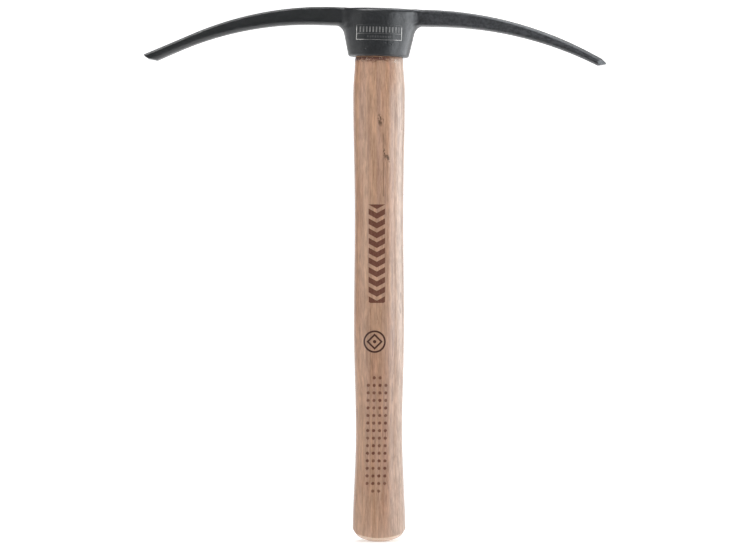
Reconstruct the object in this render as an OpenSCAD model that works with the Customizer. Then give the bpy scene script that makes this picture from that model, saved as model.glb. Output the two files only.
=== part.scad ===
// Hand pick: a forged double-ended head on an oval hickory handle, wedged in the head's eye.
// Units are millimetres. The origin is the centre of the butt's flat, +Z runs up the handle,
// +X runs towards the head's point and -X towards its chisel.

/* [Head] */
// Height of the middle of the head's lower rim above the butt
rim_z = 344.4; // [300:0.2:420]
// Lean of the head towards its point, seated in the handle, in degrees
head_tilt = 1.45; // [-2:0.05:2]
// Height of the boss round the eye
boss_h = 34; // [28:0.2:40]
// Width of the boss along the arms at its lower rim
boss_w = 42.8; // [40:0.2:48]
// Depth of the boss from front to back at its lower rim
boss_d = 32; // [30:0.2:38]
// Flare of the boss's ends from the lower rim upwards, in degrees
boss_end_flare = 12.3; // [6:0.1:16]
// Flare of the boss's front and back from the lower rim upwards, in degrees
boss_face_flare = 5; // [2:0.1:8]

/* [Arms] */
// Reach of the chisel edge from the eye's axis
chisel_reach = 166.8; // [140:0.2:190]
// Reach of the point from the eye's axis
point_reach = 161.8; // [140:0.2:190]
// Radius of the chisel arm's sweep
chisel_sweep_r = 233; // [220:1:320]
// Radius of the point arm's sweep
point_sweep_r = 259; // [220:1:320]
// Height of the chisel arm at its crown
chisel_arm_h = 12.6; // [10:0.1:14]
// Height of the point arm at its crown
point_arm_h = 11.5; // [10:0.1:14]
// Width of the arms where they leave the boss
arm_root_w = 16; // [12:0.2:18]
// Width of the chisel's cutting edge
chisel_w = 18; // [12:0.2:24]
// Narrowest width of the chisel arm, at its middle
chisel_arm_w = 13.4; // [10:0.2:16]
// Width across the flats of the point arm where its point is ground
point_w = 6.4; // [5:0.1:9]
// Length of the chisel's ground bevel
chisel_bevel = 6.5; // [5:0.1:14]
// Length of the ground point
point_grind = 5; // [3:0.1:10]
// How far the point's tip lies below the middle of the arm where the grind starts
point_droop = 1.2; // [0:0.1:3]

/* [Eye and wedges] */
// Width of the eye along the arms at the lower rim
eye_w = 33; // [28:0.2:34]
// Depth of the eye from front to back at the lower rim
eye_d = 23.4; // [20:0.2:24]
// Flare of the eye from the lower rim upwards, in degrees
eye_flare = 2; // [0.5:0.1:3]
// Thickness of the wooden wedge at its head
wood_wedge_t = 4.4; // [3:0.1:6]
// Depth that the wooden wedge is driven into the handle
wood_wedge_depth = 25; // [18:0.5:28]
// Width of each steel wedge from front to back
steel_wedge_w = 15; // [10:0.2:17]
// Thickness of each steel wedge at its head
steel_wedge_t = 2.8; // [2:0.1:4]
// Depth that the steel wedges are driven in
steel_wedge_depth = 17; // [12:0.5:17]
// Distance between the two steel wedges
steel_wedge_gap = 17; // [12:0.5:20]

/* [Handle] */
// Width of the handle just under the head
neck_w = 34.4; // [34:0.1:38]
// Width of the swell under the head
swell_w = 37; // [34:0.1:42]
// Width of the handle at its slim stretch above the middle
upper_w = 34.7; // [30:0.1:38]
// Width of the handle just below its middle
middle_w = 35.9; // [30:0.1:40]
// Width of the grip at its narrowest
grip_w = 33.2; // [28:0.1:36]
// Width of the flare at the butt
butt_w = 37.9; // [35:0.1:44]
// Depth of the handle from front to back, as a share of its width
depth_share = 0.72; // [0.66:0.01:0.85]
// Diameter of the flat at the middle of the butt
butt_flat_d = 12; // [6:0.5:16]
// Radius of the butt's domed end
butt_dome_r = 30; // [25:1:60]
// Distance from the handle's axis at which the butt's bevels start
butt_bevel_r = 14.6; // [12:0.1:16]
// Steepness of the butt's bevel, in degrees
butt_bevel_angle = 54; // [40:1:65]

/* [Hidden] */

// How full an oval is: 2 is an ellipse, and more is squarer
handle_fullness = 2.35;
eye_fullness = 2.2;
boss_fullness = 2.3;
oval_sides = 64;

// Air left between pieces that are driven together
fit_gap = 0.02;

// Arms: where the crown of their sweep is, and how far out the underside's crown is set from it
crown_u = 35;
under_shift = 10;
// Each arm's sweep: its radius, where it turns into a straight run, the height of its crown,
// and the arm's own height there
chisel_sweep = [chisel_sweep_r, 132, boss_h + 0.4, chisel_arm_h];
point_sweep = [point_sweep_r, 150, boss_h + 0.1, point_arm_h];
// The arms' tops rise to the crown over this stretch beyond the boss's flat seat
rise_u = [boss_w / 2, boss_w / 2 + 4];
// Share of the arms' smaller side that their edges are bevelled by, and the blend into the boss
arm_bevel_share = 0.2;
blend_r = 5;
// Where the chisel arm is narrowest, as a share of its length, and how fast it flares from there
chisel_narrow_at = 0.55;
chisel_flare_power = 1.5;
// How fast the point arm narrows
point_taper_power = 0.8;
// Thickness left at the cutting edge and at the point
edge_t = 0.9;
// Rings along each arm, closer together near the boss
arm_inner_u = 18;
arm_steps = 30;
station_crowding = 1.6;

// Boss: the rounding of its rims, and the height at which its ends' flare stops
rim_round = 1.5;
top_round = 1.6;
waist_z = boss_h - 14;

// Handle: heights of its wide and narrow places, and of the shaved shoulder under the head
swell_z = rim_z - 26;
upper_z = 0.67 * rim_z;
middle_z = 0.45 * rim_z;
grip_z = 0.22 * rim_z;
shoulder_h = 0.9;
neck_z = rim_z - shoulder_h;
// Height of the tenon in the eye, just short of the boss's top
tenon_h = boss_h - 0.3;
// Spacing of the handle's rings, the room above its turned end, and the tenon's rings
ring_step = 9;
end_room = 2.5;
tenon_rings = 4;
// Where the butt's dome or bevel creases, it stays this share inside the edge
crease_share = 0.96;

// Wedges: thickness at their driven edges, and how much shorter the wooden one is than the eye
wood_wedge_tip_t = 1.4;
steel_wedge_tip_t = 0.6;
wedge_end_gap = 0.6;

// ---- Ovals and lofts ----

function power(x, p) = sign(x) * pow(abs(x), p);

// One point of an oval of the given full width and depth
function oval_point(width, depth, fullness, angle) = [
    width / 2 * power(cos(angle), 2 / fullness),
    depth / 2 * power(sin(angle), 2 / fullness)
];

function side_angle(i) = 360 * i / oval_sides;

function oval(width, depth, fullness) = [
    for (i = [0:oval_sides - 1]) oval_point(width, depth, fullness, side_angle(i))
];

// A flat ring of the oval at one height
function oval_ring(width, depth, fullness, z) = [
    for (p = oval(width, depth, fullness)) [p.x, p.y, z]
];

// Closed skin over rings of equally many points, listed from the lowest to the highest
module loft(rings) {
    sides = len(rings[0]);
    last = len(rings) - 1;
    points = [for (ring = rings) for (p = ring) p];
    bottom = [for (i = [0:sides - 1]) i];
    top = [for (i = [0:sides - 1]) last * sides + sides - 1 - i];
    skin = [
        for (k = [0:last - 1]) for (i = [0:sides - 1])
            let (a = k * sides + i, b = k * sides + (i + 1) % sides)
                each [[a, a + sides, b + sides], [a, b + sides, b]]
    ];
    polyhedron(points = points, faces = concat([bottom], skin, [top]));
}

// ---- Where the head sits on the handle ----

function on_head(p) = [
    p.x * cos(head_tilt) + p.z * sin(head_tilt),
    p.y,
    rim_z - p.x * sin(head_tilt) + p.z * cos(head_tilt)
];

module at_head() {
    translate([0, 0, rim_z]) rotate([0, head_tilt, 0]) children();
}

// ---- Head ----
// u is the distance out from the eye's axis, and heights are above the lower rim.

// Slope of an arm's sweep, and how far it has fallen from its crown
function run(u, sweep) = max(0, min(u, sweep[1]) - crown_u);
function slope(u, sweep) = run(u, sweep) / sqrt(pow(sweep[0], 2) - pow(run(u, sweep), 2));
function fall(u, sweep) =
    sweep[0] - sqrt(pow(sweep[0], 2) - pow(run(u, sweep), 2))
    + max(0, u - sweep[1]) * slope(u, sweep);

function seat_rise(u) =
    max(0, min(1, (u - rise_u[0]) / (rise_u[1] - rise_u[0])));

function arm_top(u, sweep) =
    boss_h + (sweep[2] - boss_h) * seat_rise(u) - fall(u, sweep);

function boss_half_w(z) = boss_w / 2 + z * tan(boss_end_flare);
function boss_half_d(z) = boss_d / 2 + z * tan(boss_face_flare);

// A quarter round under each arm that meets the boss's end upright
function under_blend(u) =
    let (end = boss_half_w(waist_z) + blend_r - 1, into = min(max(end - u, 0), blend_r))
        blend_r - sqrt(pow(blend_r, 2) - pow(into, 2));

function arm_under(u, sweep) =
    sweep[2] - sweep[3] - fall(u - under_shift, sweep) - under_blend(u);

// How far the boss's oval reaches from front to back at a distance u along the arms
function boss_reach(u) =
    let (share = min(u / boss_half_w(waist_z), 1))
        boss_half_d(waist_z) * pow(1 - pow(share, boss_fullness), 1 / boss_fullness);

// The larger of two sizes, rounded where they are close
function soft_max(a, b) =
    let (near = max(blend_r - abs(a - b), 0) / blend_r)
        max(a, b) + blend_r * near * near / 4;

// An arm's width with its sides swept into the boss
function swept_width(u, width) = 2 * soft_max(width / 2, boss_reach(u));

// Share of the way from the boss to the tip, from 0 to 1
function along(u, reach) = max(0, min(1, (u - crown_u) / (reach - crown_u)));

function chisel_arm_width(u) =
    let (t = along(u, chisel_reach), turn = chisel_narrow_at)
        t < turn
            ? arm_root_w + (chisel_arm_w - arm_root_w) * sin(90 * t / turn)
            : chisel_arm_w + (chisel_w - chisel_arm_w) * pow((t - turn) / (1 - turn), chisel_flare_power);

function point_arm_width(u) =
    arm_root_w + (point_w - arm_root_w) * pow(along(u, point_reach - point_grind), point_taper_power);

// Eight-sided ring square across an arm, with bevelled edges
function arm_ring(u, sweep, width) =
    let (
        lean = slope(u, sweep) * (arm_top(u, sweep) - arm_under(u, sweep)) / 2,
        top = [u + lean, arm_top(u + lean, sweep)],
        under = [u - lean, arm_under(u - lean, sweep)]
    )
        bevelled_ring(under, top, width);

function bevelled_ring(under, top, width) =
    let (
        height = norm(top - under),
        bevel = arm_bevel_share * min(height, width),
        up = (top - under) * bevel / height,
        side = width / 2
    )
        [
            for (corner = [
                [under + up, side], [top - up, side], [top, side - bevel], [top, bevel - side],
                [top - up, -side], [under + up, -side], [under, bevel - side], [under, side - bevel]
            ])
                [corner[0].x, corner[1], corner[0].y]
        ];

// Places of an arm's rings, closer together near the boss
function stations(end_u) = [
    for (k = [0:arm_steps]) arm_inner_u + (end_u - arm_inner_u) * pow(k / arm_steps, station_crowding)
];

module chisel_arm() {
    end_u = chisel_reach - chisel_bevel;
    edge = [chisel_reach, arm_top(chisel_reach, chisel_sweep)];
    loft(concat(
        [for (u = stations(end_u)) arm_ring(u, chisel_sweep, swept_width(u, chisel_arm_width(u)))],
        // The ground bevel rises from the underside to the cutting edge
        [bevelled_ring(edge - [0, edge_t], edge, chisel_w)]
    ));
}

module point_arm() {
    end_u = point_reach - point_grind;
    middle = (arm_top(end_u, point_sweep) + arm_under(end_u, point_sweep)) / 2;
    tip = [point_reach, middle - point_droop];
    loft(concat(
        [for (u = stations(end_u)) arm_ring(u, point_sweep, swept_width(u, point_arm_width(u)))],
        // The four-sided ground point
        [bevelled_ring(tip - [0, edge_t / 2], tip + [0, edge_t / 2], edge_t)]
    ));
}

// The boss's ends flare up to its waist, just under the arms, and its rims are rounded over
module boss() {
    levels = [[0, rim_round], [rim_round, 0], [waist_z, 0], [boss_h - top_round, 0], [boss_h, top_round]];
    loft([
        for (level = levels)
            let (z = level[0], cut = level[1])
                oval_ring(
                    2 * (boss_half_w(min(z, waist_z)) - cut), 2 * (boss_half_d(z) - cut), boss_fullness, z
                )
    ]);
}

function eye_size(z) = [eye_w + 2 * z * tan(eye_flare), eye_d + 2 * z * tan(eye_flare)];

module eye() {
    loft([for (z = [-1, boss_h + 1]) oval_ring(eye_size(z).x, eye_size(z).y, eye_fullness, z)]);
}

module pick_head() {
    color([0.17, 0.18, 0.18]) at_head() difference() {
        union() {
            boss();
            point_arm();
            mirror([1, 0, 0]) chisel_arm();
        }
        eye();
    }
}

// ---- Wedges ----

// A wedge on its driving axis: full width w, head thickness t, tip thickness tip_t, driven to the given depth
module wedge(w, t, tip_t, depth, grow = 0) {
    half = w / 2 + grow;
    translate([0, 0, tenon_h]) rotate([90, 0, 90]) translate([0, 0, -half])
        linear_extrude(2 * half) polygon([
            [-t / 2 - grow, grow], [-tip_t / 2 - grow, -depth - grow],
            [tip_t / 2 + grow, -depth - grow], [t / 2 + grow, grow]
        ]);
}

module wood_wedge_shape(grow = 0) {
    wedge(eye_w - wedge_end_gap, wood_wedge_t, wood_wedge_tip_t, wood_wedge_depth, grow);
}

module steel_wedge_shape(side, grow = 0) {
    translate([side * steel_wedge_gap / 2, 0, 0]) rotate([0, 0, 90])
        wedge(steel_wedge_w, steel_wedge_t, steel_wedge_tip_t, steel_wedge_depth, grow);
}

module wooden_wedge() {
    color([0.72, 0.56, 0.40]) at_head() difference() {
        wood_wedge_shape();
        for (side = [-1, 1]) steel_wedge_shape(side, fit_gap);
    }
}

module steel_wedge_chisel_side() {
    color([0.55, 0.56, 0.57]) at_head() steel_wedge_shape(-1);
}

module steel_wedge_point_side() {
    color([0.55, 0.56, 0.57]) at_head() steel_wedge_shape(1);
}

// ---- Handle ----

width_marks = [
    [0, butt_w], [grip_z, grip_w], [middle_z, middle_w],
    [upper_z, upper_w], [swell_z, swell_w], [neck_z, neck_w]
];

// Width at a height, easing from each wide or narrow place to the next
function handle_w(z) =
    let (
        below = [for (k = [0:len(width_marks) - 2]) if (z >= width_marks[k][0]) k],
        k = below[len(below) - 1],
        from = width_marks[k],
        to = width_marks[k + 1],
        t = min((z - from[0]) / (to[0] - from[0]), 1)
    )
        from[1] + (to[1] - from[1]) * (1 - cos(180 * t)) / 2;

function handle_ring(z) =
    oval_ring(handle_w(z), handle_w(z) * depth_share, handle_fullness, z);

// Height of the butt's end over a point of its section: a flat, a dome round it,
// and a bevel on the side towards each arm
function dome(r) = butt_dome_r - sqrt(pow(butt_dome_r, 2) - pow(r, 2)) - butt_flat_drop;
function bevel_z(x) = dome(butt_bevel_r) + (abs(x) - butt_bevel_r) * tan(butt_bevel_angle);
function end_z(p) = max(0, dome(norm(p)), bevel_z(p.x));

butt_flat_drop = butt_dome_r - sqrt(pow(butt_dome_r, 2) - pow(butt_flat_d / 2, 2));
butt_oval = oval(butt_w, butt_w * depth_share, handle_fullness);

// Height of the lowest flat ring, clear of the whole butt end
first_ring_z = max([for (p = butt_oval) end_z(p)]) + end_room;

// Ring on the butt's end: the points of its section, each raised to the end's surface
function end_ring(points) = [for (p = points) concat(p, [end_z(p)])];

module handle_body() {
    flat = [for (p = butt_oval) p * butt_flat_d / 2 / norm(p)];
    crease = [for (p = butt_oval) p * min(butt_bevel_r / max(abs(p.x), 1), crease_share)];
    edge_ring = end_ring(butt_oval);
    soft_ring = [for (p = edge_ring) [p.x, p.y, (p.z + first_ring_z) / 2]];
    steps = ceil((neck_z - first_ring_z) / ring_step);
    loft(concat(
        [end_ring(flat), end_ring((flat + crease) / 2), end_ring(crease), edge_ring, soft_ring],
        [for (k = [0:steps]) handle_ring(first_ring_z + (neck_z - first_ring_z) * k / steps)],
        [tenon_ring(0)],
        [for (k = [1:tenon_rings]) tenon_ring(tenon_h * k / tenon_rings)]
    ));
}

// Ring of the tenon that fills the eye, at a height above the head's lower rim
function tenon_ring(z) = [
    for (p = oval(eye_size(z).x - 2 * fit_gap, eye_size(z).y - 2 * fit_gap, eye_fullness))
        on_head([p.x, p.y, z])
];

// The kerf is open at both ends of the tenon
module kerf() {
    wedge(2 * boss_w, wood_wedge_t, wood_wedge_tip_t, wood_wedge_depth, fit_gap);
}

module handle() {
    color([0.70, 0.56, 0.47]) difference() {
        handle_body();
        at_head() kerf();
        at_head() for (side = [-1, 1]) steel_wedge_shape(side, fit_gap);
    }
}

pick_head();
handle();
wooden_wedge();
steel_wedge_chisel_side();
steel_wedge_point_side();
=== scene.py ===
import math

import bmesh
import bpy
import numpy as np
from mathutils import Matrix, Vector


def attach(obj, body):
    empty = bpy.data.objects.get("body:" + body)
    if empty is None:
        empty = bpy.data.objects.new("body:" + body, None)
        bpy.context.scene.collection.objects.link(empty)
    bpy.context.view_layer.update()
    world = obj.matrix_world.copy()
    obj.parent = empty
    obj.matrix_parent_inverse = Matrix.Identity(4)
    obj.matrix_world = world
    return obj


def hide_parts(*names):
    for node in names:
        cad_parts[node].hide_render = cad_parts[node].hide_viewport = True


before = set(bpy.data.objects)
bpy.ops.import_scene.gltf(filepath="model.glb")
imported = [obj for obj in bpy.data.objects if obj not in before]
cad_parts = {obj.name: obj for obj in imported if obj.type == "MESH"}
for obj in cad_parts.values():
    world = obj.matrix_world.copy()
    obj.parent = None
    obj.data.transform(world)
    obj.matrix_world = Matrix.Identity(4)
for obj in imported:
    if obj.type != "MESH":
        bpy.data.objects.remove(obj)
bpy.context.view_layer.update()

# A hand pick: a forged head, an oval hickory handle and the three wedges between them.
# Shapes are worked out in millimetres and become metres when a mesh is made.
# The marked front looks along -Y.
MM = 0.001
rng = np.random.default_rng(7)

# ---------------------------------------------------------------- small helpers


def smooth_min(a, b, reach):
    """The smaller of two fields, rounded where they are within reach of each other."""
    near = np.maximum(reach - np.abs(a - b), 0) / reach
    return np.minimum(a, b) - near * near * reach / 4


def smooth_max(a, b, reach):
    return -smooth_min(-a, -b, reach)


def superellipse_field(x, y, half_x, half_y, fullness):
    """Distance, close to the surface, from an upright oval column."""
    sx, sy = np.abs(x) / half_x + 1e-9, np.abs(y) / half_y + 1e-9
    size = (sx**fullness + sy**fullness) ** (1 / fullness)
    steep = size ** (1 - fullness)
    slope = np.hypot(steep * sx ** (fullness - 1) / half_x, steep * sy ** (fullness - 1) / half_y)
    return (size - 1) / slope


def new_object(name, verts, faces, materials, unit=MM):
    """An object at the origin whose vertices, given in units of so many metres, hold its place."""
    mesh = bpy.data.meshes.new(name)
    mesh.from_pydata((np.asarray(verts, float) * unit).tolist(), [], faces)
    for material in materials:
        mesh.materials.append(material)
    obj = bpy.data.objects.new(name, mesh)
    bpy.context.scene.collection.objects.link(obj)
    return obj


def shade(obj, sharp_degrees):
    obj.data.polygons.foreach_set("use_smooth", [True] * len(obj.data.polygons))
    obj.data.set_sharp_from_angle(angle=math.radians(sharp_degrees))


def loft(rings, close_ends=True):
    """Vertices and faces of a skin through rings of equal length, given from the bottom up."""
    count = len(rings[0])
    verts = np.concatenate(rings)
    faces = []
    for k in range(len(rings) - 1):
        base = k * count
        for i in range(count):
            j = (i + 1) % count
            faces.append((base + i, base + j, base + count + j, base + count + i))
    if close_ends:
        faces.append(tuple(reversed(range(count))))
        faces.append(tuple(range(len(verts) - count, len(verts))))
    return verts, faces


# ---------------------------------------------------------------- materials


class Graph:
    """A material and short calls for the nodes that it uses."""

    def __init__(self, name):
        self.material = bpy.data.materials.new(name)
        self.material.use_nodes = True
        self.tree = self.material.node_tree
        self.surface = self.tree.nodes["Principled BSDF"]
        place = self.tree.nodes.new("ShaderNodeTexCoord").outputs["Object"]
        self.mm = self.scaled(place, (1 / MM,) * 3)

    def feed(self, socket, value):
        if isinstance(value, bpy.types.NodeSocket):
            self.tree.links.new(value, socket)
        else:
            socket.default_value = value

    def add(self, kind, inputs, **settings):
        node = self.tree.nodes.new(kind)
        for key, value in settings.items():
            setattr(node, key, value)
        for key, value in inputs.items():
            self.feed(node.inputs[key], value)
        return node

    def scaled(self, vector, by):
        return self.add("ShaderNodeVectorMath", {0: vector, 1: by}, operation="MULTIPLY").outputs[0]

    def shifted(self, vector, by):
        return self.add("ShaderNodeVectorMath", {0: vector, 1: by}, operation="ADD").outputs[0]

    def along(self, vector, direction, start=0.0):
        """How far the vector reaches in a direction, less start."""
        dot = self.add("ShaderNodeVectorMath", {0: vector, 1: direction}, operation="DOT_PRODUCT")
        return self.math("SUBTRACT", dot.outputs["Value"], start)

    def math(self, operation, a, b=0.0, c=0.0, clamp=False):
        node = self.add("ShaderNodeMath", {0: a, 1: b}, operation=operation, use_clamp=clamp)
        if operation == "MULTIPLY_ADD":
            self.feed(node.inputs[2], c)
        return node.outputs[0]

    def product(self, *values):
        out = values[0]
        for value in values[1:]:
            out = self.math("MULTIPLY", out, value)
        return out

    def largest(self, *values):
        out = values[0]
        for value in values[1:]:
            out = self.math("MAXIMUM", out, value)
        return out

    def distance(self, a, b):
        """Length of the hypotenuse over a and b."""
        return self.math("SQRT", self.math("ADD", self.math("POWER", a, 2), self.math("POWER", b, 2)))

    def from_middle(self, value, pitch):
        """How far value is from the middle of its step, in steps of so much: 0 to 0.5."""
        share = self.math("FRACT", self.math("DIVIDE", value, pitch))
        return self.math("ABSOLUTE", self.math("SUBTRACT", share, 0.5))

    def step(self, value, low, high, a=0.0, b=1.0):
        """Goes smoothly from a to b as value goes from low to high."""
        node = self.add(
            "ShaderNodeMapRange",
            {"Value": value, "From Min": low, "From Max": high, "To Min": a, "To Max": b},
            interpolation_type="SMOOTHSTEP",
        )
        return node.outputs["Result"]

    def noise(self, scale, detail, roughness, shift=None):
        """Noise with scale waves in a millimetre, or with a scale for each axis."""
        vector = self.mm if shift is None else self.shifted(self.mm, shift)
        if isinstance(scale, tuple):
            vector, scale = self.scaled(vector, scale), 1.0
        inputs = {"Vector": vector, "Scale": scale, "Detail": detail, "Roughness": roughness}
        return self.add("ShaderNodeTexNoise", inputs).outputs["Fac"]

    def ramp(self, value, stops):
        node = self.add("ShaderNodeValToRGB", {"Fac": value})
        ramp = node.color_ramp
        while len(ramp.elements) < len(stops):
            ramp.elements.new(0.5)
        for element, (at, colour) in zip(ramp.elements, stops):
            element.position = at
            element.color = (*colour, 1)
        return node.outputs["Color"]

    def mix(self, share, a, b, blend="MIX"):
        node = self.add("ShaderNodeMix", {}, data_type="RGBA", blend_type=blend)
        self.feed(node.inputs["Factor"], share)
        colour_inputs = [s for s in node.inputs if s.type == "RGBA"]
        for socket, value in zip(colour_inputs, (a, b)):
            self.feed(socket, value if isinstance(value, bpy.types.NodeSocket) else (*value, 1))
        return [s for s in node.outputs if s.type == "RGBA"][0]

    def bump(self, height, distance_mm, strength=1.0, below=None):
        inputs = {"Height": height, "Distance": distance_mm * MM, "Strength": strength}
        if below is not None:
            inputs["Normal"] = below
        return self.add("ShaderNodeBump", inputs).outputs["Normal"]

    def finish(self, colour, roughness, normal, **constants):
        self.feed(self.surface.inputs["Base Color"], colour)
        self.feed(self.surface.inputs["Roughness"], roughness)
        self.feed(self.surface.inputs["Normal"], normal)
        for key, value in constants.items():
            self.surface.inputs[key.replace("_", " ")].default_value = value
        return self.material


# ---------------------------------------------------------------- head: sizes and field

# In the head's own place, u is the distance out from the eye's axis and z is over the boss's lower rim.
# Height of that rim over the butt, and how far the head leans down towards its point
RIM_Z = 344.4
TILT = math.radians(1.45)
# The boss round the eye: it flares upwards, at its ends only as far as the waist
BOSS_H = 34.0
BOSS_X = -0.35
BOSS_HALF_W, BOSS_END_FLARE = 21.4, math.tan(math.radians(12.3))
BOSS_HALF_D, BOSS_FACE_FLARE = 16.0, math.tan(math.radians(5.0))
BOSS_FULLNESS = 2.3
WAIST_Z = 20.0
EYE_HALF_W, EYE_HALF_D, EYE_FLARE = 16.5, 11.7, math.tan(math.radians(2.0))
EYE_FULLNESS = 2.2
# The arms: where their tops start to fall, and how much further out their undersides do
CROWN_U = 35.0
UNDER_SHIFT = 10.0
ROOT_W = 16.0
# The chisel arm narrows over its first part and widens again to the edge
CHISEL_WAIST_W, CHISEL_EDGE_W, CHISEL_WAIST = 13.4, 18.0, 0.55
POINT_END_W, POINT_TAPER = 6.4, 0.8
EDGE_T = 0.9

CHISEL = dict(
    reach=166.8, radius=233.0, straight=132.0, crown=34.4, height=12.6, low_bevel=2.9, top_bevel=0.6
)
POINT = dict(
    reach=161.8, radius=259.0, straight=150.0, crown=34.1, height=11.5, low_bevel=1.5, top_bevel=2.4
)
POINT_GRIND = 5.0
# The grid on which the head's surface is found: its two far corners and its pitch
NET_LOW, NET_HIGH, NET_PITCH = (-170.2, -22.2, -17), (165.2, 22.2, 37.6), 0.68


def sweep(u, arm):
    """How far an arm's sweep has fallen from its crown at u, and its slope there."""
    run = np.clip(u, CROWN_U, arm["straight"]) - CROWN_U
    chord = np.sqrt(arm["radius"] ** 2 - run**2)
    slope = run / chord
    return arm["radius"] - chord + np.maximum(u - arm["straight"], 0) * slope, slope


def arm_top(u, arm):
    fall, slope = sweep(u, arm)
    rise = np.clip((u - BOSS_HALF_W) / 4, 0, 1)
    return BOSS_H + (arm["crown"] - BOSS_H) * rise - fall, slope


def arm_under(u, arm):
    fall, slope = sweep(u - UNDER_SHIFT, arm)
    return arm["crown"] - arm["height"] - fall, slope


def chisel_width(u):
    t = np.clip((u - CROWN_U) / (CHISEL["reach"] - CROWN_U), 0, 1)
    narrowing = ROOT_W + (CHISEL_WAIST_W - ROOT_W) * np.sin(np.pi / 2 * np.minimum(t / CHISEL_WAIST, 1))
    past_waist = np.maximum(t - CHISEL_WAIST, 0) / (1 - CHISEL_WAIST)
    return narrowing + (CHISEL_EDGE_W - CHISEL_WAIST_W) * past_waist**1.5


def point_width(u):
    t = np.clip((u - CROWN_U) / (POINT["reach"] - POINT_GRIND - CROWN_U), 0, 1)
    return ROOT_W + (POINT_END_W - ROOT_W) * t**POINT_TAPER


def arm_field(u, y, z, arm, width):
    top, top_slope = arm_top(u, arm)
    under, under_slope = arm_under(u, arm)
    above = (z - top) / np.sqrt(1 + top_slope**2)
    below = (under - z) / np.sqrt(1 + under_slope**2)
    side = np.abs(y) - width / 2
    # The bevels grow over the arm's first part
    out = np.clip((u - 40) / 80, 0, 1)
    low_bevel = (side + below + arm["low_bevel"] * (0.75 + 0.25 * out)) / math.sqrt(2)
    top_bevel = (side + above + arm["top_bevel"] * (0.4 + 0.6 * out)) / math.sqrt(2)
    body = smooth_max(side, below, 1.2)
    body = smooth_max(body, low_bevel, 1.1)
    return smooth_max(body, top_bevel, 1.0)


def head_field(x, y, z):
    """Below zero inside the head, above zero outside, and close to the distance near the surface."""
    u = np.abs(x)
    chisel = arm_field(u, y, z, CHISEL, chisel_width(u))
    point = arm_field(u, y, z, POINT, point_width(u))
    arms = np.where(x > 0, point, chisel)
    half_w = BOSS_HALF_W + np.minimum(z, WAIST_Z) * BOSS_END_FLARE
    boss = superellipse_field(x - BOSS_X, y, half_w, BOSS_HALF_D + z * BOSS_FACE_FLARE, BOSS_FULLNESS)
    boss = smooth_max(boss, -z, 1.3)
    # The fillet between arm and boss is widest at the middle of the arm
    blend = 6.5 - 2.7 * np.clip((np.abs(y) - 3.5) / 4, 0, 1)
    body = smooth_min(arms, boss, blend)
    top, slope = arm_top(u, POINT)
    chisel_top, chisel_slope = arm_top(u, CHISEL)
    top, slope = np.where(x > 0, top, chisel_top), np.where(x > 0, slope, chisel_slope)
    # A slight swelling where the point arm leaves the boss
    top = top + 0.35 * np.exp(-(((x - 24.6) / 3.5) ** 2))
    # The boss's upper rim is rounder than the arms' top edges
    rounding = 3.4 - 2.5 * np.clip((u - 18) / 14, 0, 1)
    body = smooth_max(body, (z - top) / np.sqrt(1 + slope**2), rounding)
    ends = np.maximum(x - POINT["reach"] - 2, -x - CHISEL["reach"] - 2)
    body = np.maximum(body, ends)
    eye = superellipse_field(x, y, EYE_HALF_W + z * EYE_FLARE, EYE_HALF_D + z * EYE_FLARE, EYE_FULLNESS)
    return smooth_max(body, -eye, 1.2)


def surface_net(field, low, high, pitch):
    """A quad mesh of the surface where the field is zero."""
    axes = [np.arange(a, b + pitch, pitch) for a, b in zip(low, high)]
    shape = tuple(len(a) for a in axes)
    values = np.empty(shape, np.float32)
    for start in range(0, shape[0], 16):
        slab = slice(start, start + 16)
        values[slab] = field(axes[0][slab, None, None], axes[1][None, :, None], axes[2][None, None, :])
    inside = values < 0
    cells = tuple(n - 1 for n in shape)
    total = np.zeros((cells[0] * cells[1] * cells[2], 3))
    count = np.zeros(cells[0] * cells[1] * cells[2])
    quads = []
    for axis in range(3):
        side_a, side_b = [a for a in range(3) if a != axis]
        near = tuple(slice(0, -1) if a == axis else slice(None) for a in range(3))
        far = tuple(slice(1, None) if a == axis else slice(None) for a in range(3))
        at = np.argwhere(inside[near] != inside[far])
        at = at[
            (at[:, side_a] > 0) & (at[:, side_a] < shape[side_a] - 1)
            & (at[:, side_b] > 0) & (at[:, side_b] < shape[side_b] - 1)
        ]
        beyond = at.copy()
        beyond[:, axis] += 1
        value_near, value_far = values[tuple(at.T)], values[tuple(beyond.T)]
        where = at.astype(float)
        where[:, axis] += value_near / (value_near - value_far)
        ring = []
        for da, db in ((-1, -1), (0, -1), (0, 0), (-1, 0)):
            cell = at.copy()
            cell[:, side_a] += da
            cell[:, side_b] += db
            flat = np.ravel_multi_index(tuple(cell.T), cells)
            np.add.at(total, flat, where)
            np.add.at(count, flat, 1)
            ring.append(flat)
        ring = np.stack(ring, 1)
        outward = value_near < 0
        if axis == 1:
            outward = ~outward
        ring[~outward] = ring[~outward][:, ::-1]
        quads.append(ring)
    used = np.flatnonzero(count)
    index = np.full(len(count), -1)
    index[used] = np.arange(len(used))
    verts = np.array(low) + pitch * total[used] / count[used][:, None]
    return verts, index[np.concatenate(quads)]


def pulled_onto(field, verts, steps=4, h=0.04):
    """The vertices moved along the field's slope until the field is zero there."""
    verts = verts.copy()
    for _ in range(steps):
        value = field(*verts.T)
        slope = np.stack([
            (field(*(verts + h * e).T) - field(*(verts - h * e).T)) / (2 * h) for e in np.eye(3)
        ], 1)
        move = value / np.maximum((slope**2).sum(1), 0.2)
        verts -= np.clip(move, -0.5, 0.5)[:, None] * slope
    return verts


def roundness(field, verts, h=0.9):
    """How sharply the surface turns outwards at each vertex, per millimetre."""
    around = sum(field(*(verts + s * h * e).T) for e in np.eye(3) for s in (-1, 1))
    return (around - 6 * field(*verts.T)) / h**2


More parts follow.
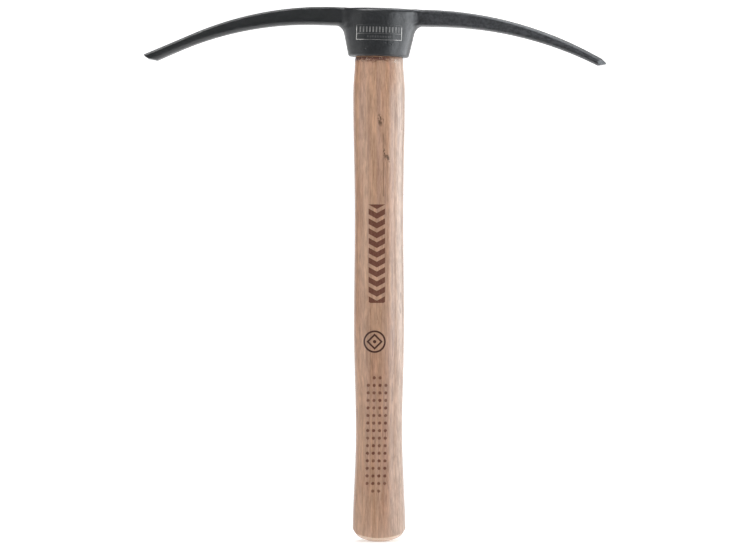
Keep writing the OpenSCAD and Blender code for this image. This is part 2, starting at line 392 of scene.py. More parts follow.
def on_head(verts):
    """From the head's own place to the handle's frame."""
    x, y, z = verts.T
    across = x * math.cos(TILT) + z * math.sin(TILT)
    return np.stack([across, y, RIM_Z - x * math.sin(TILT) + z * math.cos(TILT)], 1)


def grind(mesh, at, outward):
    """Cuts the mesh with a plane, drops what lies outward and closes the cut with a ground face."""
    geom = mesh.verts[:] + mesh.edges[:] + mesh.faces[:]
    cut = bmesh.ops.bisect_plane(mesh, geom=geom, plane_co=at, plane_no=outward, clear_outer=True)
    rim = [g for g in cut["geom_cut"] if isinstance(g, bmesh.types.BMEdge)]
    made = bmesh.ops.contextual_create(mesh, geom=rim)
    for face in made["faces"]:
        face.material_index = 1


def plane_through(a, b, c, inside):
    """A point on the plane through three points, and its normal, away from the inside point."""
    a, b, c, inside = (Vector(p) for p in (a, b, c, inside))
    normal = (b - a).cross(c - a).normalized()
    return a, normal if (inside - a).dot(normal) < 0 else -normal


def build_head(materials):
    verts, quads = surface_net(head_field, NET_LOW, NET_HIGH, NET_PITCH)
    verts = pulled_onto(head_field, verts)
    worn = np.clip(roundness(head_field, verts) * 0.9 - 0.15, 0, 1)
    # It stays in millimetres until it is ground
    head = new_object("forged_head", verts, quads.tolist(), materials, unit=1.0)
    attribute = head.data.attributes.new("edge_wear", "FLOAT", "POINT")
    attribute.data.foreach_set("value", worn.astype(np.float32))

    mesh = bmesh.new()
    mesh.from_mesh(head.data)
    # The chisel's bevel is ground in two passes, steeper towards the edge
    inner = (-140, 0, arm_top(140, CHISEL)[0])
    bevel = ((-159.4, -6.1), (-164.3, -5.2), (-CHISEL["reach"], -3.5))
    for (ax, az), (bx, bz) in zip(bevel, bevel[1:]):
        grind(mesh, *plane_through((ax, 0, az), (bx, 0, bz), (ax, 1, az), inner))
    grind(mesh, (-CHISEL["reach"], 0, 0), (-1, 0, 0))

    # The point is ground to four faces, which start at these distances out
    tip_u, tip_z, half = POINT["reach"], -0.7, EDGE_T / 2
    top_u, under_u, side_u = 157.7, 155.6, 155.2
    inner = (145, 0, arm_top(145, POINT)[0] - 5)
    for u, z, tip in (
        (top_u, arm_top(top_u, POINT)[0], tip_z + half),
        (under_u, arm_under(under_u, POINT)[0], tip_z - half),
    ):
        grind(mesh, *plane_through((u, 0, z), (u, 1, z), (tip_u, 0, tip), inner))
    side = float(point_width(side_u)) / 2
    for s in (-1, 1):
        start = (side_u, s * side)
        grind(mesh, *plane_through((*start, -9), (*start, 9), (tip_u, s * half, tip_z), inner))
    grind(mesh, (POINT["reach"], 0, 0), (1, 0, 0))
    for v in mesh.verts:
        v.co = on_head(np.array([v.co]))[0]
    mesh.transform(Matrix.Diagonal((MM, MM, MM, 1)))
    mesh.to_mesh(head.data)
    mesh.free()
    shade(head, 32)
    return head


# ---------------------------------------------------------------- handle: sizes and mesh

# Depth of the handle as a share of its width, and its widths at heights over the butt
DEPTH_SHARE = 0.72
HANDLE_FULLNESS = 2.35
NECK_Z = RIM_Z - 0.9
BUTT_W = 37.9
WIDTHS = ((0, BUTT_W), (75.77, 33.2), (154.98, 35.9), (230.75, 34.7), (318.4, 37.0), (NECK_Z, 34.4))
SIDES = 192
# The tenon ends just under the boss's top, and the gap round it stands for its tight fit
TENON_H = BOSS_H - 0.3
FIT_GAP = 0.02
# The butt's end: a small flat, a dome round it and a steep bevel towards each arm
BUTT_R, BUTT_FLAT_R = 30.0, 6.0
BUTT_DROP = BUTT_R - math.sqrt(BUTT_R**2 - BUTT_FLAT_R**2)
BEVEL_X, BUTT_BEVEL = 14.6, math.tan(math.radians(54))


def oval(width, depth, fullness, sides=SIDES):
    a = np.arange(sides) * 2 * np.pi / sides
    c, s = np.cos(a), np.sin(a)
    x = width / 2 * np.sign(c) * np.abs(c) ** (2 / fullness)
    return np.stack([x, depth / 2 * np.sign(s) * np.abs(s) ** (2 / fullness)], 1)


def handle_oval(width, sides=SIDES):
    return oval(width, width * DEPTH_SHARE, HANDLE_FULLNESS, sides)


def handle_width(z):
    for (z0, w0), (z1, w1) in zip(WIDTHS, WIDTHS[1:]):
        if z <= z1:
            return w0 + (w1 - w0) * (1 - math.cos(math.pi * max(0, (z - z0) / (z1 - z0)))) / 2
    return WIDTHS[-1][1]


def butt_dome(r):
    return BUTT_R - np.sqrt(BUTT_R**2 - r**2) - BUTT_DROP


def butt_z(points):
    """Height of the butt's end over its flat."""
    x, y = points.T
    bevel = butt_dome(BEVEL_X) + (np.abs(x) - BEVEL_X) * BUTT_BEVEL
    return np.maximum(np.maximum(butt_dome(np.hypot(x, y)), bevel), 0)


def handle_rings():
    """Rings of the handle from the middle of its butt to the top of its tenon."""
    butt = handle_oval(BUTT_W)
    flat = butt * (BUTT_FLAT_R / np.hypot(*butt.T))[:, None]
    rings = []
    for t in (0.0, 0.2, 0.4, 0.55, 0.66, 0.75, 0.83, 0.9, 0.95, 0.98):
        p = flat + (butt - flat) * t
        rings.append(np.column_stack([p, butt_z(p)]))
    edge = butt_z(butt)
    rings.append(np.column_stack([butt * 0.993, edge + 0.1]))
    # Over the butt's uneven edge the rings level out
    level = edge.max() + 2.5
    for share in (0.0, 0.12, 0.3, 0.55, 0.8):
        z = edge + 0.45 + (level - edge - 0.45) * share
        width = np.array([handle_width(v) for v in z]) / BUTT_W
        rings.append(np.column_stack([butt * width[:, None], z]))
    for z in np.linspace(level, NECK_Z - 0.8, 150):
        rings.append(np.column_stack([handle_oval(handle_width(z)), np.full(SIDES, z)]))
    # The neck is shaved ragged where it was cut back to seat the head
    neck = handle_oval(handle_width(NECK_Z))
    angle = np.arange(SIDES) * 2 * np.pi / SIDES
    ragged = sum(rng.uniform(0.3, 1) * np.sin(k * angle + rng.uniform(0, 6.3)) for k in (7, 13, 22, 37)) / 4
    shaved, seat = 1 - 0.006 + 0.006 * ragged, 0.978 + 0.008 * ragged
    rings.append(np.column_stack([neck * shaved[:, None], NECK_Z - 0.25 + 0.2 * ragged]))
    rings.append(np.column_stack([neck * seat[:, None], NECK_Z + 0.25 + 0.25 * ragged]))
    for z in (0.05, 2, 8, 15, 22, 28, TENON_H - 0.4, TENON_H):
        chamfer = 0.25 if z == TENON_H else 0
        less = 2 * FIT_GAP + chamfer - 2 * z * EYE_FLARE
        p = oval(2 * EYE_HALF_W - less, 2 * EYE_HALF_D - less, EYE_FULLNESS)
        rings.append(on_head(np.column_stack([p, np.full(SIDES, z)])))
    return rings


def wedge_mesh(half_w, head_t, tip_t, depth, grow=0.0, lift=0.0, across=False, at=0.0):
    """A driven wedge over the tenon's top, as a loft of rectangles from tip to head."""
    rings = []
    for z in (-depth - grow, grow + lift):
        t = tip_t / 2 + (head_t - tip_t) / 2 * (z + depth) / depth + grow
        w = half_w + grow
        p = np.array([(-w, -t), (w, -t), (w, t), (-w, t)])
        if across:
            p = p[:, ::-1] * (-1, 1)
        rings.append(on_head(np.column_stack([p + (at, 0), np.full(4, TENON_H + z)])))
    return loft(rings)


def cut(obj, cutter):
    """Takes the cutter's shape out of obj and removes the cutter."""
    modifier = obj.modifiers.new("cut", "BOOLEAN")
    modifier.operation = "DIFFERENCE"
    modifier.solver = "EXACT"
    modifier.object = cutter
    bpy.context.view_layer.objects.active = obj
    bpy.ops.object.modifier_apply(modifier="cut")
    bpy.data.objects.remove(cutter)


def slivers():
    """Short curled slivers left standing along the shaved neck, as thin three-sided strips."""
    verts, faces = [], []
    count, rows = 720, 5
    outline = handle_oval(handle_width(NECK_Z), count)
    for _ in range(150):
        i = int(rng.integers(count))
        p, q = outline[i], outline[(i + 3) % count]
        tangent = (q - p) / np.hypot(*(q - p))
        outward = np.array([tangent[1], -tangent[0]])
        length, wide = rng.uniform(0.8, 2.6), rng.uniform(0.12, 0.38)
        lean, curl = rng.uniform(-0.5, 0.5), rng.uniform(0.1, 0.7)
        base_z = NECK_Z - rng.uniform(-0.1, 1.2)
        start = len(verts)
        for k in range(rows):
            t = k / (rows - 1)
            centre = p + outward * (-0.12 + curl * t * t) + tangent * lean * length * t
            half = wide / 2 * (1 - t) ** 0.6 + 0.02
            z = base_z - length * 0.7 * t + 0.25 * curl * t
            for offset in (-tangent * half, tangent * half, outward * 0.1 * (1 - t)):
                verts.append((*(centre + offset), z))
        for k in range(rows - 1):
            a, b = start + 3 * k, start + 3 * k + 3
            faces += [(a, a + 2, b + 2, b), (a + 2, a + 1, b + 1, b + 2), (a + 1, a, b, b + 1)]
        last = start + 3 * (rows - 1)
        faces += [(start, start + 1, start + 2), (last + 2, last + 1, last)]
    return np.array(verts), faces


# ---------------------------------------------------------------- looks

# The marks' places on the front, in millimetres from the handle's axis and over the butt
BAND_X, BAND_HALF_W, BAND_Z = -1.55, 5.8, (169.5, 239.3)
EMBLEM_X, EMBLEM_Z, EMBLEM_R = -3.13, 142.1, 7.3
DOTS_X, DOTS_Z, DOTS_DRIFT = -7.54, 116.5, -0.071
DOT_COLUMN, DOT_ROW = 4.17, 5.347
# Clusters of dark flecks: middle across and up, half sizes, lean
FLECKS = ((0.7, 299.0, 2.4, 5.8, -0.1), (3.9, 275.2, 1.4, 5.6, -0.16), (6.3, 272.4, 1.5, 4.6, -0.3))
# Dark lines in the grain: place across, lower and upper end, half width
LINES = (
    (3.1, 245, 300, 0.28), (16.1, 292, 330, 0.22), (-6.2, 95, 170, 0.16),
    (15.6, 162, 190, 0.25), (9.4, 100, 220, 0.2),
)
# Dents in the boss's front, in the head's own place: middle across and up, size
DENTS = ((5.2, 9.4, 1.0), (8.2, 7.9, 0.8), (-9.4, 5.1, 0.6))
# The etched frame on the boss: left, right, lower and upper edge, and the height of its divider
FRAME_EDGES, DIVIDER_Z = (-16.3, 15.6, 11.3, 21.6), 15.6


def front_mask(g):
    """1 on the pick's front half and 0 on its back half."""
    return g.step(g.along(g.mm, (0, 1, 0)), -3, -5)


def box_mask(g, a, b, low_a, high_a, low_b, high_b, soft):
    """1 inside a rectangle in two coordinates, with soft edges."""
    return g.product(
        g.step(a, low_a - soft, low_a + soft), g.step(a, high_a + soft, high_a - soft),
        g.step(b, low_b - soft, low_b + soft), g.step(b, high_b + soft, high_b - soft),
    )


def etched_frame(g, x, z, front):
    """A plain frame with a row of even ticks over a row of small dashes."""
    line, soft = 0.22, 0.1
    left, right, low, high = FRAME_EDGES
    outer = box_mask(g, x, z, left - line, right + line, low - line, high + line, soft)
    inner = box_mask(g, x, z, left + line, right - line, low + line, high - line, soft)
    rails = g.math("SUBTRACT", outer, inner, clamp=True)
    # It is strongest at its sides and lower corners
    corner = g.step(g.math("ABSOLUTE", g.math("ADD", x, 0.35)), 10.0, 13.0, 0.24, 1.0)
    fade = g.product(g.step(z, 21.5, 19.0, 0.10, 1.0), corner)
    divider = box_mask(g, x, z, left, right, DIVIDER_Z - 0.15, DIVIDER_Z + 0.15, soft)
    along = g.math("ADD", x, 100)
    tick_row = box_mask(g, x, z, -14.6, 13.9, DIVIDER_Z + 0.9, 20.4, 0.25)
    ticks = g.product(g.step(g.from_middle(along, 2.3), 0.27, 0.19), tick_row)
    dash_row = box_mask(g, x, z, -9.0, 8.4, 12.8, 14.2, 0.2)
    dashes = g.product(g.step(g.from_middle(along, 1.15), 0.26, 0.16), dash_row)
    etched = g.largest(
        g.product(rails, fade), g.product(divider, corner, 0.6),
        g.product(ticks, 0.30), g.product(dashes, 0.14),
    )
    uneven = g.step(g.noise(0.35, 3, 0.5), 0.3, 0.6, 0.6, 1.0)
    return g.product(etched, uneven, front)


def forged_coating():
    g = Graph("forged_black")
    # Across and up in the head's own place
    x = g.along(g.mm, (math.cos(TILT), 0, -math.sin(TILT)), -RIM_Z * math.sin(TILT))
    z = g.along(g.mm, (math.sin(TILT), 0, math.cos(TILT)), RIM_Z * math.cos(TILT))
    broad = g.noise(0.055, 3, 0.55)
    cloud = g.noise(0.33, 4, 0.6)
    grain = g.noise(2.1, 3, 0.6)
    tone = g.math("MULTIPLY_ADD", cloud, 0.5, g.product(broad, 0.5))
    colour = g.ramp(tone, [
        (0.3, (0.0045, 0.0062, 0.0070)), (0.55, (0.0080, 0.0098, 0.0115)), (0.75, (0.0155, 0.0165, 0.0200)),
    ])
    # Painted shade: the coating is made blackest along the chisel arm, away from the lights on the point side
    colour = g.mix(g.step(x, -26, -46, 0.0, 0.75), colour, (0.0020, 0.0044, 0.0046))
    # Greyish scale lies thin over the head and thicker along the point arm
    scale = g.step(g.noise(0.55, 3, 0.7, (0, 60, 0)), 0.40, 0.60)
    colour = g.mix(g.product(scale, g.step(x, 14, 42, 0.12, 0.95)), colour, (0.044, 0.045, 0.052))
    # The coating is rubbed through in patches on outward edges
    worn = g.add("ShaderNodeAttribute", {}, attribute_name="edge_wear").outputs["Fac"]
    patchy = g.step(g.noise(0.8, 4, 0.65), 0.42, 0.68)
    rubbed = g.product(worn, g.math("MULTIPLY_ADD", patchy, 0.65, 0.2))
    colour = g.mix(rubbed, colour, (0.085, 0.087, 0.09))
    specks = g.step(g.noise(1.7, 2, 0.5, (40, 7, 3)), 0.70, 0.78)
    colour = g.mix(g.product(specks, 0.35), colour, (0.07, 0.072, 0.074))
    front = front_mask(g)
    etched = etched_frame(g, x, z, front)
    colour = g.mix(etched, colour, (0.56, 0.55, 0.53))
    roughness = g.step(g.math("MULTIPLY_ADD", grain, 0.4, g.product(cloud, 0.6)), 0.3, 0.7, 0.30, 0.44)
    roughness = g.math("SUBTRACT", roughness, g.product(rubbed, 0.08))

    pits = []
    for dent_x, dent_z, r in DENTS:
        away = g.distance(g.math("SUBTRACT", x, dent_x), g.math("SUBTRACT", z, dent_z))
        pits.append(g.product(g.step(away, r, r * 0.2), front))
    normal = g.bump(g.noise(0.12, 3, 0.5), 0.5, 0.35)
    normal = g.bump(cloud, 0.30, 0.6, normal)
    normal = g.bump(g.noise(0.95, 3, 0.6), 0.10, 0.6, normal)
    normal = g.bump(grain, 0.05, 0.6, normal)
    normal = g.bump(g.math("MULTIPLY_ADD", g.largest(*pits), -1, g.product(etched, -0.25)), 0.3, 0.6, normal)
    return g.finish(colour, roughness, normal, IOR=1.9)


def ground_steel():
    g = Graph("ground_steel")
    strokes = g.noise((5.0, 0.5, 1.2), 3, 0.6)
    stain = g.step(g.noise(0.7, 3, 0.5), 0.35, 0.7)
    colour = g.mix(stain, (0.225, 0.235, 0.240), (0.135, 0.142, 0.148))
    return g.finish(colour, g.step(strokes, 0.3, 0.7, 0.38, 0.52), g.bump(strokes, 0.03, 0.7), Metallic=0.8)


def hickory_grain(g, x, y, z):
    """Colour of the wood: rings about a heart off to one side, long fibres and short open pores."""
    # The rings lean and wander slowly along the handle
    drift = g.math("SUBTRACT", g.noise((0.03, 0.03, 0.0055), 3, 0.5), 0.5)
    wander = g.math("SUBTRACT", g.noise((0.12, 0.12, 0.012), 3, 0.5), 0.5)
    heart_x = g.math("ADD", g.math("ADD", x, 21), g.math("MULTIPLY_ADD", drift, 16, g.product(z, -0.02)))
    heart_y = g.math("SUBTRACT", g.math("SUBTRACT", y, 46), g.product(drift, 12))
    radius = g.math("ADD", g.distance(heart_x, heart_y), g.product(wander, 2.2))
    phase = g.math("FRACT", g.math("DIVIDE", radius, 2.7))
    early = g.product(g.step(phase, 0.0, 0.16), g.step(phase, 0.62, 0.3))

    fibre = g.noise((1.5, 1.5, 0.05), 4, 0.62)
    fine = g.noise((4.5, 4.5, 0.3), 3, 0.6)
    figure = g.noise((0.5, 0.5, 0.11), 3, 0.6, (17, 0, 5))
    broad = g.noise((0.16, 0.16, 0.0045), 2, 0.5)
    patch = g.noise((0.11, 0.11, 0.016), 3, 0.55)
    mauve = g.noise((0.2, 0.2, 0.006), 2, 0.5, (9, 5, 0))
    colour = g.ramp(broad, [
        (0.30, (0.400, 0.225, 0.135)), (0.44, (0.450, 0.266, 0.166)),
        (0.55, (0.41, 0.242, 0.160)), (0.70, (0.485, 0.30, 0.195)),
    ])
    colour = g.mix(g.step(patch, 0.46, 0.70, 0.0, 0.5), colour, (0.37, 0.18, 0.10))
    colour = g.mix(g.step(mauve, 0.52, 0.68, 0.0, 0.35), colour, (0.37, 0.225, 0.180))
    colour = g.mix(g.product(early, 0.20), colour, (0.27, 0.145, 0.082))
    # Paler sapwood down the side under the point, which also serves as a painted sheen of the light from that
    # side
    sapwood_and_sheen_side = g.step(g.math("MULTIPLY_ADD", drift, 10.0, x), 6, 16, 0.0, 0.6)
    sapwood_and_sheen = g.product(sapwood_and_sheen_side, g.step(fibre, 0.25, 0.6, 0.6, 1.0))
    colour = g.mix(sapwood_and_sheen, colour, (0.52, 0.39, 0.31))
    # Streaks, hair lines and figure, and painted light: paler wood near the head against the head's shade,
    # and along the chisel side for the light from that side
    streaks_and_painted_light = g.product(
        g.step(fibre, 0.30, 0.70, 0.87, 1.17), g.step(fine, 0.3, 0.7, 0.91, 1.11),
        g.step(figure, 0.32, 0.68, 0.87, 1.12), g.step(x, -16, -8, 1.10, 1.0), g.step(z, 312, 336, 1.0, 1.13),
    )
    grey = g.add("ShaderNodeCombineColor", {"Red": streaks_and_painted_light, "Green": streaks_and_painted_light, "Blue": streaks_and_painted_light}).outputs[0]
    colour = g.mix(1.0, colour, grey, "MULTIPLY")
    # Open pores, mostly in the early wood
    open_pores = g.step(g.noise((3.2, 3.2, 0.16), 1, 0.4), 0.635, 0.70)
    pores = g.product(open_pores, g.math("MULTIPLY_ADD", early, 0.75, 0.12))
    colour = g.mix(g.product(pores, 0.5), colour, (0.17, 0.09, 0.055))
    height = g.math("SUBTRACT", g.product(fibre, 0.35), g.product(pores, 0.8))
    return colour, height, fibre, wander


def dark_grain(g, x, z, wander, front):
    """How far the wood is darkened by clusters of flecks and by a few broken lines in the grain."""
    fleck = g.step(g.noise((1.3, 0.2, 0.55), 2, 0.6, (3, 0, 11)), 0.43, 0.52)
    spots = []
    for middle_x, middle_z, half_w, half_h, lean in FLECKS:
        up = g.math("SUBTRACT", z, middle_z)
        across = g.math("SUBTRACT", g.math("SUBTRACT", x, middle_x), g.product(up, lean))
        away = g.distance(g.math("DIVIDE", across, half_w), g.math("DIVIDE", up, half_h))
        spots.append(g.step(away, 1.0, 0.35))
    flecks = g.product(g.largest(*spots), fleck, front)
    wavy_x = g.math("ADD", x, g.product(wander, 2.0))
    lines = g.largest(*[
        box_mask(g, wavy_x, z, at - half, at + half, low, high, 0.16) for at, low, high, half in LINES
    ])
    broken = g.step(g.noise((0.6, 0.2, 0.11), 2, 0.5), 0.44, 0.56)
    return g.largest(g.product(flecks, 0.95), g.product(lines, broken, front, 0.6))


def burnt_band(g, x, z):
    """A band of plain chevrons."""
    band_x = g.math("SUBTRACT", x, BAND_X)
    turn = g.math("MULTIPLY_ADD", g.math("ABSOLUTE", band_x), -0.55, z)
    band = box_mask(g, band_x, z, -BAND_HALF_W, BAND_HALF_W, *BAND_Z, 0.16)
    return g.product(g.step(g.from_middle(turn, 6.9), 0.315, 0.275), band)


def burnt_emblem(g, x, z):
    """A ring round a plain diamond with a dot in it."""
    ring_x, ring_z = g.math("SUBTRACT", x, EMBLEM_X), g.math("SUBTRACT", z, EMBLEM_Z)
    away = g.distance(ring_x, ring_z)
    ring = g.step(g.math("ABSOLUTE", g.math("SUBTRACT", away, EMBLEM_R)), 0.78, 0.52)
    across = g.math("ADD", g.math("ABSOLUTE", ring_x), g.math("ABSOLUTE", ring_z))
    diamond = g.step(g.math("ABSOLUTE", g.math("SUBTRACT", across, 4.9)), 1.05, 0.72)
    return g.largest(ring, diamond, g.step(away, 1.4, 1.0))


def burnt_dots(g, x, z):
    """A grid of dots, four across and fewer at its ends, that drifts a little sideways down the grip."""
    down = g.math("DIVIDE", g.math("SUBTRACT", DOTS_Z, z), DOT_ROW)
    row = g.math("ROUND", down)
    across = g.math("SUBTRACT", g.math("SUBTRACT", x, DOTS_X), g.product(down, DOTS_DRIFT))
    across = g.math("DIVIDE", across, DOT_COLUMN)
    column = g.math("ROUND", across)
    dx = g.product(g.math("SUBTRACT", across, column), DOT_COLUMN)
    dz = g.product(g.math("SUBTRACT", down, row), DOT_ROW)
    wobble = g.product(g.math("SUBTRACT", g.noise(1.1, 2, 0.5), 0.5), 0.7)
    away = g.math("ADD", g.distance(dx, dz), wobble)
    inner = box_mask(g, column, row, 0.5, 2.5, -0.5, 15.5, 0.01)
    whole = box_mask(g, column, row, -0.5, 3.5, 0.5, 14.5, 0.01)
    # Each dot is burnt a little more or less
    seed = g.add("ShaderNodeCombineXYZ", {"X": column, "Y": row}).outputs[0]
    force = g.add("ShaderNodeTexWhiteNoise", {"Vector": seed}).outputs["Value"]
    burnt = g.math("MULTIPLY_ADD", force, 0.22, 0.78)
    return g.product(g.step(away, 1.45, 0.80), g.largest(inner, whole), burnt)


def under_head(g, x, z, front, colour):
    """The colour with the dark band just under the head, painted shadow of the boss over burnish, and the
    pale chips there.
    """
    ragged = g.noise((0.35, 0.35, 0.7), 3, 0.6)
    # Painted shadow of the boss over burnish: a dark reddish band under the head, weaker towards the point
    # side
    stain = g.product(
        g.step(g.math("MULTIPLY_ADD", ragged, 9.0, z), 344.8, 347.4),
        g.step(z, 344.1, 343.6), g.step(x, 4.0, 9.0, 1.0, 0.35),
    )
    colour = g.mix(g.product(stain, 0.85), colour, (0.12, 0.042, 0.033))
    # Patchy painted shade with some burnish, deepening towards the head
    shade_and_burnish_fringe = g.product(g.step(z, 336.5, 343.0), g.step(g.noise((0.5, 0.5, 0.25), 3, 0.6), 0.45, 0.7))
    colour = g.mix(g.product(shade_and_burnish_fringe, 0.2), colour, (0.27, 0.13, 0.09))
    chipped = g.step(g.noise((1.0, 0.4, 0.55), 4, 0.75, (0, 0, 31)), 0.52, 0.60)
    chips = g.product(box_mask(g, x, z, 8.9, 13.4, 339.6, 343.4, 0.9), chipped, front)
    return g.mix(chips, colour, (0.80, 0.70, 0.60))


def bare_end_and_bounce(g, x, y, z):
    """1 on the butt's end and its two bevels, where the wood is bare and its pale colour is also painted
    bounce light from the floor, and less in its pores.
    """
    drop = g.math("SUBTRACT", BUTT_R**2, g.math("POWER", g.distance(x, y), 2))
    dome = g.math("SUBTRACT", BUTT_R - BUTT_DROP, g.math("SQRT", drop))
    bevel_start = float(butt_dome(BEVEL_X)) - BEVEL_X * BUTT_BEVEL
    bevel = g.math("MULTIPLY_ADD", g.math("ABSOLUTE", x), BUTT_BEVEL, bevel_start)
    near = g.step(g.math("SUBTRACT", z, g.math("MAXIMUM", dome, bevel)), 0.4, 0.15)
    return g.product(near, g.step(g.noise(1.6, 2, 0.5), 0.5, 0.66, 0.9, 0.62))


def hickory(name, marked=True, bare=0.0):
    """Pinkish tan hickory under a thin lacquer, with the front's marks or as bare torn fibres."""
    g = Graph(name)
    x, y, z = (g.along(g.mm, axis) for axis in ((1, 0, 0), (0, 1, 0), (0, 0, 1)))
    colour, height, fibre, wander = hickory_grain(g, x, y, z)
    roughness = g.step(fibre, 0.3, 0.7, 0.40, 0.52)
    if marked:
        front = front_mask(g)
        colour = g.mix(dark_grain(g, x, z, wander, front), colour, (0.115, 0.06, 0.035))
        mottle = g.step(g.noise((1.6, 1.6, 0.7), 3, 0.6), 0.3, 0.66, 1.0, 0.88)
        burnt = g.product(g.largest(burnt_band(g, x, z), burnt_dots(g, x, z)), mottle, front)
        emblem = g.product(burnt_emblem(g, x, z), front)
        colour = g.mix(g.product(burnt, 0.98), colour, (0.105, 0.024, 0.010))
        colour = g.mix(g.product(emblem, 0.98), colour, (0.042, 0.010, 0.004))
        colour = under_head(g, x, z, front, colour)
        either = g.largest(burnt, emblem)
        height = g.math("SUBTRACT", height, g.product(either, 0.9))
        roughness = g.math("MULTIPLY_ADD", either, 0.2, roughness)
    # The bare end grain is pale, partly as painted bounce light from the floor
    colour = g.mix(bare_end_and_bounce(g, x, y, z), colour, (0.70, 0.52, 0.39))
    if bare:
        colour = g.mix(bare, colour, (0.72, 0.58, 0.46))
    lacquer = {"Specular_IOR_Level": 0.15, "Coat_Weight": 1.0, "Coat_Roughness": 0.26, "Coat_IOR": 1.8}
    return g.finish(colour, roughness, g.bump(height, 0.09, 0.7), **lacquer)


def wedge_wood():
    g = Graph("wedge_wood")
    fibre = g.noise((1.2, 1.2, 0.1), 4, 0.6)
    pores = g.step(g.noise((3.0, 3.0, 0.3), 1, 0.4), 0.6, 0.68)
    colour = g.ramp(fibre, [(0.3, (0.30, 0.18, 0.10)), (0.7, (0.50, 0.33, 0.20))])
    colour = g.mix(g.product(pores, 0.6), colour, (0.14, 0.075, 0.04))
    normal = g.bump(g.math("SUBTRACT", fibre, g.product(pores, 0.6)), 0.12, 0.8)
    return g.finish(colour, g.step(fibre, 0.3, 0.7, 0.6, 0.75), normal)


def wedge_steel():
    g = Graph("wedge_steel")
    blows = g.noise(0.55, 3, 0.5)
    grain = g.noise((3.0, 3.0, 0.6), 3, 0.6)
    rust = g.step(g.noise(0.9, 4, 0.6), 0.55, 0.72)
    colour = g.mix(g.product(rust, 0.45), (0.42, 0.43, 0.44), (0.22, 0.12, 0.07))
    roughness = g.math("MULTIPLY_ADD", rust, 0.25, g.step(grain, 0.3, 0.7, 0.34, 0.48))
    return g.finish(colour, roughness, g.bump(grain, 0.04, 0.6, g.bump(blows, 0.3, 0.6)), Metallic=0.9)


# ---------------------------------------------------------------- the pieces

# Wedges: half width, thickness at the driven edge and at the tip, and depth
WOOD_WEDGE = (16.2, 4.4, 1.4, 25.0)
STEEL_WEDGE = (7.5, 2.8, 0.6, 17.0)
STEEL_WEDGE_X = 8.5
# The kerf is sawn wider than the eye, and cutters stand proud of the tenon's top
KERF_HALF_W = 40.0
PROUD = 2.0


def place(obj, slot, node):
    """Puts a piece on the pick's one body, in the place of its CAD node."""
    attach(obj, "root")
    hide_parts(node)


def steel_wedge(side, **room):
    return wedge_mesh(*STEEL_WEDGE, across=True, at=side * STEEL_WEDGE_X, **room)


def cutter(verts_and_faces):
    return new_object("cutter", *verts_and_faces, [])


def add_slivers(obj):
    """Joins the slivers to the handle's mesh, in its second material."""
    strips = new_object("slivers", *slivers(), [])
    mesh = bmesh.new()
    mesh.from_mesh(obj.data)
    before = len(mesh.faces)
    mesh.from_mesh(strips.data)
    mesh.faces.ensure_lookup_table()
    for face in mesh.faces[before:]:
        face.material_index = 1
    mesh.to_mesh(obj.data)
    mesh.free()
    bpy.data.objects.remove(strips)


def driven_wedge(name, material, mesh_parts, bevel, cutters=()):
    """A wedge with eased edges."""
    obj = new_object(name, *mesh_parts, [material])
    for parts in cutters:
        cut(obj, cutter(parts))
    edges = obj.modifiers.new("edges", "BEVEL")
    edges.width, edges.segments, edges.limit_method = bevel * MM, 2, "ANGLE"
    bpy.context.view_layer.objects.active = obj
    bpy.ops.object.modifier_apply(modifier="edges")
    shade(obj, 35)
    return obj


head = build_head([forged_coating(), ground_steel()])
place(head, "forged_black", "pick_head")

handle_looks = [hickory("hickory"), hickory("hickory_fibres", marked=False, bare=0.75)]
handle = new_object("hickory_handle", *loft(handle_rings()), handle_looks)
cut(handle, cutter(wedge_mesh(KERF_HALF_W, *WOOD_WEDGE[1:], grow=FIT_GAP, lift=PROUD)))
for side in (-1, 1):
    cut(handle, cutter(steel_wedge(side, grow=FIT_GAP, lift=PROUD)))
add_slivers(handle)
shade(handle, 28)
place(handle, "hickory", "handle")

slits = [steel_wedge(side, grow=FIT_GAP, lift=PROUD) for side in (-1, 1)]
wood = driven_wedge("split_wood_wedge", wedge_wood(), wedge_mesh(*WOOD_WEDGE, lift=0.35), 0.15, slits)
place(wood, "wedge_wood", "wooden_wedge")
steel = wedge_steel()
for side, end in ((-1, "chisel_side"), (1, "point_side")):
    wedge = driven_wedge(f"cut_steel_wedge_{end}", steel, steel_wedge(side, lift=0.1), 0.2)
    place(wedge, "wedge_steel", f"steel_wedge_{end}")

# ---------------------------------------------------------------- studio

# The paper, in millimetres: how far behind the pick its wall stands, the radius of the curve up
# to the wall, the wall's height, and how far the paper spreads
WALL_Y, WALL_RISE, WALL_TOP, REACH = 4500, 900, 4200, 5000
# The floor is in two parts, which meet this far before the pick
SEAM_Y = -120
RING_SIDES = 96


def paper_look():
    g = Graph("studio_paper")
    paper = g.noise(0.02, 3, 0.5)
    colour = g.mix(paper, (0.90, 0.90, 0.90), (0.93, 0.93, 0.93))
    # The paper glows where the lights don't reach it
    flat = g.scaled(g.mm, (MM, MM, 0))
    away = g.add("ShaderNodeVectorMath", {0: flat}, operation="LENGTH").outputs["Value"]
    g.feed(g.surface.inputs["Emission Strength"], g.step(away, 0.7, 2.0, 0.34, 0.74))
    g.surface.inputs["Emission Color"].default_value = (1, 1, 1, 1)
    return g.finish(colour, g.step(paper, 0.3, 0.7, 0.7, 0.8), g.bump(g.noise(1.2, 3, 0.5), 0.05, 0.2))


def stage_piece(name, verts, faces, material):
    obj = new_object(name, verts, faces, [material])
    shade(obj, 60)
    return obj


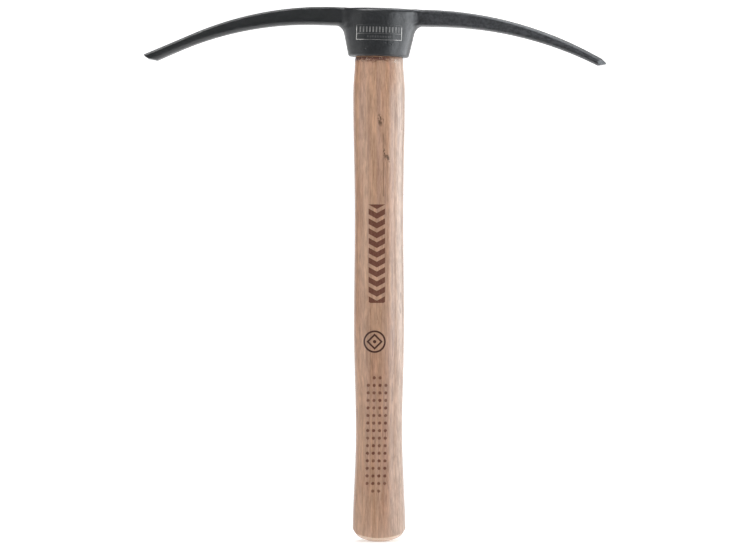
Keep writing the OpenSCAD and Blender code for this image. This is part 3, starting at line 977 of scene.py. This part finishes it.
def studio():
    """A pale floor that curves up into a wall behind the pick, and a ring of the same paper far round it."""
    material = paper_look()
    quarter = [math.pi / 2 * k / 12 for k in range(1, 13)]
    cove = [(WALL_Y - WALL_RISE * (1 - math.sin(a)), WALL_RISE * (1 - math.cos(a))) for a in quarter]
    cove.append((WALL_Y, WALL_TOP))
    strips = {
        "studio_floor": [(-REACH, 0), (SEAM_Y, 0)],
        "studio_backdrop": [(SEAM_Y, 0), (WALL_Y - WALL_RISE, 0), *cove],
    }
    for name, profile in strips.items():
        verts = [(x, y, z) for y, z in profile for x in (-REACH, REACH)]
        faces = [(2 * k, 2 * k + 1, 2 * k + 3, 2 * k + 2) for k in range(len(profile) - 1)]
        strip = stage_piece(name, verts, faces, material)
        # The floor before the pick isn't mirrored in it, so its dark front stays dark
        strip.visible_glossy = name == "studio_backdrop"

    # The ring only fills the background of the other views, and takes no part in the light.
    # It keeps just within the paper's sides and just over its floor
    turns = np.linspace(0, 2 * np.pi, RING_SIDES, endpoint=False)
    grow, lift = (REACH - 20) / WALL_Y, 2.0
    rings = [
        np.column_stack([r * grow * np.cos(turns), r * grow * np.sin(turns), np.full(RING_SIDES, z + lift)])
        for r, z in cove
    ]
    ring = stage_piece("studio_surround", *loft(rings, close_ends=False), material)
    ring.visible_diffuse = ring.visible_glossy = ring.visible_shadow = False


def softbox(name, at, aim, size, power, tint=(1, 1, 1)):
    light = bpy.data.lights.new(name, "AREA")
    light.shape = "RECTANGLE"
    light.size, light.size_y = size
    light.energy, light.color = power, tint
    obj = bpy.data.objects.new(name, light)
    obj.location = at
    obj.rotation_euler = (Vector(aim) - Vector(at)).to_track_quat("-Z", "Y").to_euler()
    obj.visible_camera = False
    bpy.context.scene.collection.objects.link(obj)


studio()
middle = (0, 0, 0.2)
cool = (0.93, 0.965, 1.0)
# The two low softboxes on the point side give the long highlights down the handle and the boss
softbox("key_right", (0.86, -0.03, 0.28), (0, 0, 0.28), (0.90, 0.40), 3.3, cool)
softbox("edge_right", (0.55, -0.68, 0.2), middle, (0.36, 0.36), 1.25, cool)
softbox("front_high", (-0.66, -1.2, 1.75), middle, (1.1, 0.8), 16.5)
softbox("fill_left", (-0.75, -0.42, 0.2), middle, (0.8, 0.36), 0.55)
softbox("top_right", (0.50, -0.12, 1.7), (0.05, 0, 0.35), (1.2, 0.9), 10.5, cool)
softbox("back_high", (0.4, 1.9, 2.1), middle, (1.4, 1.0), 10)

world = bpy.data.worlds.new("studio")
world.use_nodes = True
world.node_tree.nodes["Background"].inputs["Color"].default_value = (1, 1, 1, 1)
world.node_tree.nodes["Background"].inputs["Strength"].default_value = 0.12
bpy.context.scene.world = world
bpy.context.scene.view_settings.view_transform = "Standard"

# A long lens, level with the middle of the handle and square to the pick
camera = bpy.data.cameras.new("camera")
camera.sensor_width = 36
camera.lens = 168.6
camera.clip_end = 50
eye = bpy.data.objects.new("camera", camera)
eye.location = (-0.00285, -2.5, 0.1893)
eye.rotation_euler = (math.pi / 2, 0, 0)
bpy.context.scene.collection.objects.link(eye)
bpy.context.scene.camera = eye
